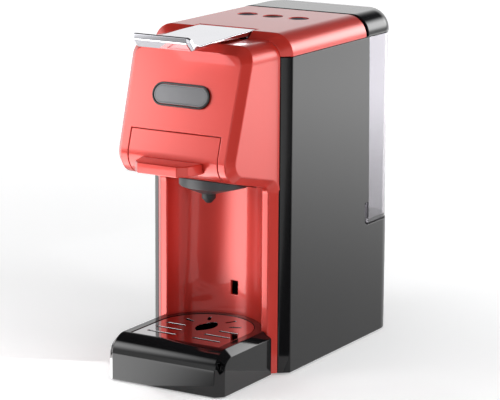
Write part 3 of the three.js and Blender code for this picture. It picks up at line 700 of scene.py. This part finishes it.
def make_grille():
    """Three rows of slots on either side, four slots fanned out behind, and a pointed eye."""
    foot, top = low("drip_grille").z, high("drip_grille").z
    plate = prism("z", tongue(GRILLE_RADIUS, GRILLE_FRONT, GRILLE_RADIUS), foot, top)
    eye_y = 66
    rows = ((21.2, 31.3, 26), (22.8, 45, 24.5), (25, 58.8, 18.5))  # x, y, length
    openings = [slot((side * x, y), length, 0) for side in (-1, 1) for x, y, length in rows]
    fan_radius = 23.5
    for degrees in (22, 64, 116, 158):
        angle = math.radians(degrees)
        centre = (fan_radius * math.cos(angle), eye_y + fan_radius * math.sin(angle))
        openings.append(slot(centre, 10.5, angle))
    eye = arc(-11.25, eye_y, 18.75, -53.1, 53.1, 24) + arc(11.25, eye_y, 18.75, 126.9, 233.1, 24)
    openings.append(prism("z", eye, 30, 40))
    plate = cut(plate, *openings)
    piece(plate, "drip_grille_fine", "drip_grille", LOOKS["grille_steel"],
          ["drip_grille"], 0.4)


# ---- Lever, badge and outlet ----
def make_lever():
    """A chromed plate whose front edge turns up into a lip. Its underside thins towards both sides."""
    axis_y, axis_z = LEVER_AXIS
    lip = [(6, 277.6), (1.4, 283), (-0.8, 283.5), (-2.8, 283.1), (-2.8, 278.7)]
    crest = [(97, 277.7), (66, 277.3), (45, 276.4), (14, 275.2)]
    under = [(4.5, 271.8), (13, 272.2), (44, 273.1), (84.5, 273.6), (80.5, 270.2)]
    root = [*arc(axis_y, axis_z, 4.5, 120, 350, 24), (88, 268), (96, 274), (97, 275.5)]
    side = [*crest, *lip, *under, *root]
    rolled = [(6, 277.3), (2.4, 281.3), (0.4, 282.2), (-1, 281.6), (-1, 279.4)]
    thinned = [(5, 272.9), (13, 273.6), (44, 274.8), (84.5, 273.6), (80.5, 270.2)]
    edge = [*crest, *rolled, *thinned, *root]
    half, border = LEVER_HALF_WIDTH, 2.4
    ends = [(edge, -half), (side, -half + border), (side, half - border), (edge, half)]
    block = loft([[(x, y, z) for y, z in outline] for outline, x in ends])
    cam_room = box((-14.5, 14.5), (70, 96.4), (250, 273.8))
    block = cut(block, cam_room, bar("x", LEVER_AXIS, 2.3, -40, 40, 32))
    piece(block, "lever_fine", "lever", LOOKS["chrome"], ["lever"], 0.5)


def make_badge():
    """A plain pill-shaped plate in a dark frame, on the leaning front."""
    length = 1 / math.hypot(1, LEAN)
    up = Vector((0, LEAN * length, length))
    out = Vector((0, -length, LEAN * length))
    centre_z, bend = 232, 17  # the badge's middle, and how far to either side its round ends start
    centre = Vector((0, LEAN_Y - BEVEL / length + (centre_z - LEAN_HEIGHT) * LEAN, centre_z))

    def pill(radius, start, stop):
        outline = arc(bend, 0, radius, -90, 90, 24) + arc(-bend, 0, radius, 90, 270, 24)
        return loft([[tuple(centre + Vector((u, 0, 0)) + up * v + out * d) for u, v in outline]
                     for d in (start, stop)])

    rim = cut(pill(9.5, GAP, 1.9), pill(7.9, -1, 3))
    piece(rim, "badge_frame_fine", "root", LOOKS["black_gloss"], ["badge_frame"], 0.5)
    plate = cut(pill(7.6, GAP, 1.5), cut(pill(6.6, 1.35, 3), pill(6.2, 1, 4)))
    piece(plate, "badge_plate_fine", "root", LOOKS["badge_grey"], ["badge_plate"], 0.12, 2)


def underside(y):
    return 162.8 - 0.2296 * (y - 45)


def make_outlet():
    """A funnel whose rim is centred behind its nozzle. Its top follows the head's underside."""
    circle = arc(0, 0, 1, 0, 360, 96)[:-1]
    radius = high("outlet_cone").x
    rim_y = high("outlet_cone").y - ORIGIN_Y - radius
    levels = [(BREW_Y, 147, 7), (rim_y, 152.6, radius - 0.8), (rim_y, 153.3, radius),
              (rim_y, 168, radius)]
    cone = loft([[(r * u, y + r * v, z) for u, v in circle] for y, z, r in levels])
    behind = BREW_Y + 7
    above = prism("x", [(0, underside(0) - GAP), (behind, underside(behind) - 1),
                        (130, NICHE_TOP - GAP), (130, 190), (0, 190)], -40, 40)
    cone = cut(cone, above, bar("z", (0, BREW_Y), 3, 130, 180))
    piece(cone, "outlet_cone_fine", "root", LOOKS["dark_grey"], ["outlet_cone"], 0.4)
    spout = [(0, 139), (2.2, 139), (5.2, 142.3), (5.7, 142.9), (5.7, 146.7), (0, 146.7)]
    nozzle = cut(turned((0, BREW_Y), spout), bar("z", (0, BREW_Y), 1.6, 130, 150))
    piece(nozzle, "outlet_nozzle_fine", "root", LOOKS["black_matte"],
          ["outlet_nozzle"], 0.25)


def dress_cad_nodes():
    """The nodes that stay as they are get their slot's finish and soft shading."""
    slots = {part["node"]: part["material_slot"] for part in frame["record"]["subparts"]}
    for name, obj in frame["nodes"].items():
        if obj.hide_render:
            continue
        obj.data.materials.clear()
        obj.data.materials.append(LOOKS[slots[name]])
        for polygon in obj.data.polygons:
            polygon.material_index = 0
        shade(obj.data, math.radians(32))


# ---- Studio ----
CENTRE = (cad_low + cad_high) / 2
CAMERA_AZIMUTH = 30.80
CAMERA_ELEVATION = 12.49
CAMERA_ROLL = 0.35
CAMERA_DISTANCE = 1.947
CAMERA_LENS = 169.85
FLOOR_REACH = 8  # metres from the middle to the floor's edge

# Where the camera's line of sight goes on, off faces that look
BAND_AZIMUTH = 59  # 45 degrees to the right
FRONT_AZIMUTH = -31  # to the front
SIDE_AZIMUTH = 149  # to the right


def direction(azimuth, elevation):
    """Azimuth 0 is in front of the object and 90 to its right."""
    a, e = math.radians(azimuth), math.radians(elevation)
    return Vector((math.sin(a) * math.cos(e), -math.cos(a) * math.cos(e), math.sin(e)))


def make_camera():
    azimuth, roll = math.radians(CAMERA_AZIMUTH), math.radians(CAMERA_ROLL)
    back = direction(CAMERA_AZIMUTH, CAMERA_ELEVATION)
    right = Vector((math.cos(azimuth), math.sin(azimuth), 0))
    up = back.cross(right)
    camera = bpy.data.cameras.new("camera")
    camera.sensor_width = 36
    camera.lens = CAMERA_LENS
    camera.clip_end = 100
    obj = bpy.data.objects.new("camera", camera)
    bpy.context.scene.collection.objects.link(obj)
    turned_right = right * math.cos(roll) + up * math.sin(roll)
    turned_up = up * math.cos(roll) - right * math.sin(roll)
    turn = Matrix((turned_right, turned_up, back)).transposed().to_4x4()
    target = CENTRE + Vector((2.8, -4.25, -11.65)) * MM
    obj.matrix_world = Matrix.Translation(target + back * CAMERA_DISTANCE) @ turn
    bpy.context.scene.camera = obj


def make_floor():
    mesh = bpy.data.meshes.new("floor")
    corners = [(u * FLOOR_REACH, v * FLOOR_REACH, 0) for u, v in ((-1, -1), (1, -1), (1, 1), (-1, 1))]
    mesh.from_pydata(corners, [], [(0, 1, 2, 3)])
    floor = bpy.data.objects.new("floor", mesh)
    bpy.context.scene.collection.objects.link(floor)
    look = surface("floor", (0.86, 0.86, 0.865), 0.8, tint=0.01, grain=2.0)
    mesh.materials.append(look)
    tree = look.node_tree
    place = tree.nodes["Texture Coordinate"]
    reach_of = node(tree, "ShaderNodeVectorMath", operation="LENGTH")
    glow = map_range(tree, (0.2, 1.2), (0.3, 0.85))
    tree.links.new(place.outputs["Object"], reach_of.inputs[0])
    tree.links.new(reach_of.outputs["Value"], glow.inputs["Value"])
    shader = tree.nodes["Principled BSDF"]
    shader.inputs["Emission Color"].default_value = (1, 1, 1, 1)
    tree.links.new(glow.outputs["Result"], shader.inputs["Emission Strength"])


def softbox(name, azimuth, elevation, distance, width, height, power, mirrored=True):
    """A lamp whose cloth is brightest in the middle and fades towards its edges."""
    light = bpy.data.lights.new(name, "AREA")
    light.shape = "RECTANGLE"
    light.size = width
    light.size_y = height
    light.energy = power
    light.use_nodes = True
    tree = light.node_tree
    place = node(tree, "ShaderNodeNewGeometry")
    centred = node(tree, "ShaderNodeVectorMath", operation="SUBTRACT")
    centred.inputs[1].default_value = (0.5, 0.5, 0)
    away = node(tree, "ShaderNodeVectorMath", operation="LENGTH")
    fade = map_range(tree, (0.1, 0.5), (1.9, 0.0), interpolation_type="SMOOTHSTEP")
    tree.links.new(place.outputs["Parametric"], centred.inputs[0])
    tree.links.new(centred.outputs["Vector"], away.inputs[0])
    tree.links.new(away.outputs["Value"], fade.inputs["Value"])
    tree.links.new(fade.outputs["Result"], tree.nodes["Emission"].inputs["Strength"])
    obj = bpy.data.objects.new(name, light)
    bpy.context.scene.collection.objects.link(obj)
    towards = direction(azimuth, elevation)
    obj.location = CENTRE + towards * distance
    obj.rotation_euler = towards.to_track_quat("Z", "Y").to_euler()
    obj.visible_camera = False
    obj.visible_glossy = mirrored


def card(name, azimuth, origin, rows, span, glow, fan=None):
    """A glowing card that only reflections see: it shapes what glossy faces mirror.

    rows are (reach, left, right, height) in metres, with reach along the azimuth from the origin. The
    glow runs smoothly from glow[0] to glow[1] over a span of reach. With fan, the span is of the slant
    across, over the reach from a point fan metres behind the origin."""
    mesh = bpy.data.meshes.new(name)
    points = [(side, reach, height) for reach, left, right, height in rows for side in (left, right)]
    mesh.from_pydata(points, [], [(i, i + 1, i + 3, i + 2) for i in range(0, len(points) - 2, 2)])
    obj = bpy.data.objects.new(name, mesh)
    bpy.context.scene.collection.objects.link(obj)
    obj.location = to_frame(*origin)
    obj.rotation_euler = (0, 0, math.radians(180 + azimuth))
    look = surface(name, (0.004, 0.004, 0.004), 1.0)
    tree = look.node_tree
    split = node(tree, "ShaderNodeSeparateXYZ")
    ramp = map_range(tree, span, glow, interpolation_type="SMOOTHSTEP")
    tree.links.new(tree.nodes["Texture Coordinate"].outputs["Object"], split.inputs["Vector"])
    if fan:
        further = node(tree, "ShaderNodeMath", operation="ADD")
        further.inputs[1].default_value = fan
        slant = node(tree, "ShaderNodeMath", operation="DIVIDE")
        tree.links.new(split.outputs["Y"], further.inputs[0])
        tree.links.new(split.outputs["X"], slant.inputs[0])
        tree.links.new(further.outputs["Value"], slant.inputs[1])
        tree.links.new(slant.outputs["Value"], ramp.inputs["Value"])
    else:
        tree.links.new(split.outputs["Y"], ramp.inputs["Value"])
    shader = tree.nodes["Principled BSDF"]
    shader.inputs["Emission Color"].default_value = (1, 1, 1, 1)
    tree.links.new(ramp.outputs["Result"], shader.inputs["Emission Strength"])
    mesh.materials.append(look)
    obj.visible_camera = False
    obj.visible_diffuse = False
    obj.visible_shadow = False
    obj.visible_transmission = False


def make_cards():
    edge, niche_axis = (HALF_WIDTH, HEAD_REAR, 1), (0, NICHE_Y, 1)
    card("band_card", BAND_AZIMUTH, edge,
         [(0.045, -0.095, 0.015, 0), (0.9, -0.19, 0.10, 0), (0.9, -0.19, 0.10, 1.2)], (0, 1), (0, 0))
    card("front_card", FRONT_AZIMUTH, niche_axis,
         [(0.06, -0.3, 0.06, 0), (0.95, -2.2, 0.65, 0)], (-0.45, 0.1), (0.05, 5), 0.15)
    card("far_card", FRONT_AZIMUTH, niche_axis,
         [(0.95, -0.9, 0.9, 0), (3.0, -1.2, 1.2, 0)], (-0.15, 0.1), (0.05, 0.6), 0.15)
    card("side_card", SIDE_AZIMUTH, edge,
         [(0.0, -0.5, 0.5, 0.0005), (2.2, -1.1, 1.1, 0.0005)], (0, 1.5), (0.6, 2.4))


def make_world():
    world = bpy.data.worlds.new("studio")
    world.use_nodes = True
    tree = world.node_tree
    place = node(tree, "ShaderNodeTexCoord")
    split = node(tree, "ShaderNodeSeparateXYZ")
    ramp = node(tree, "ShaderNodeValToRGB")
    tree.links.new(place.outputs["Generated"], split.inputs["Vector"])
    tree.links.new(split.outputs["Z"], ramp.inputs["Fac"])
    bright, dim = ramp.color_ramp.elements
    bright.position, bright.color = 0.28, (1, 1, 1, 1)
    dim.position, dim.color = 0.48, (0.04, 0.04, 0.042, 1)
    background = tree.nodes["Background"]
    tree.links.new(ramp.outputs["Color"], background.inputs["Color"])
    background.inputs["Strength"].default_value = 1.0
    bpy.context.scene.world = world


def make_studio():
    make_camera()
    make_floor()
    make_cards()
    make_world()
    softbox("left_front", -46, 19, 0.55, 0.5, 0.45, 2.2)
    softbox("right_side", 152, 20, 0.9, 0.8, 0.5, 3.2)
    softbox("right_fill", 95, 25, 1.8, 1.2, 1.2, 20, mirrored=False)
    softbox("overhead", 20, 82, 2.2, 2.6, 2.6, 20, mirrored=False)
    bpy.context.scene.view_settings.view_transform = "Standard"


make_front_shell()
make_drawer()
make_top_cover()
make_buttons()
make_rear_body()
make_tank()
make_lid()
make_tray()
make_grille()
make_lever()
make_badge()
make_outlet()
dress_cad_nodes()
make_studio()
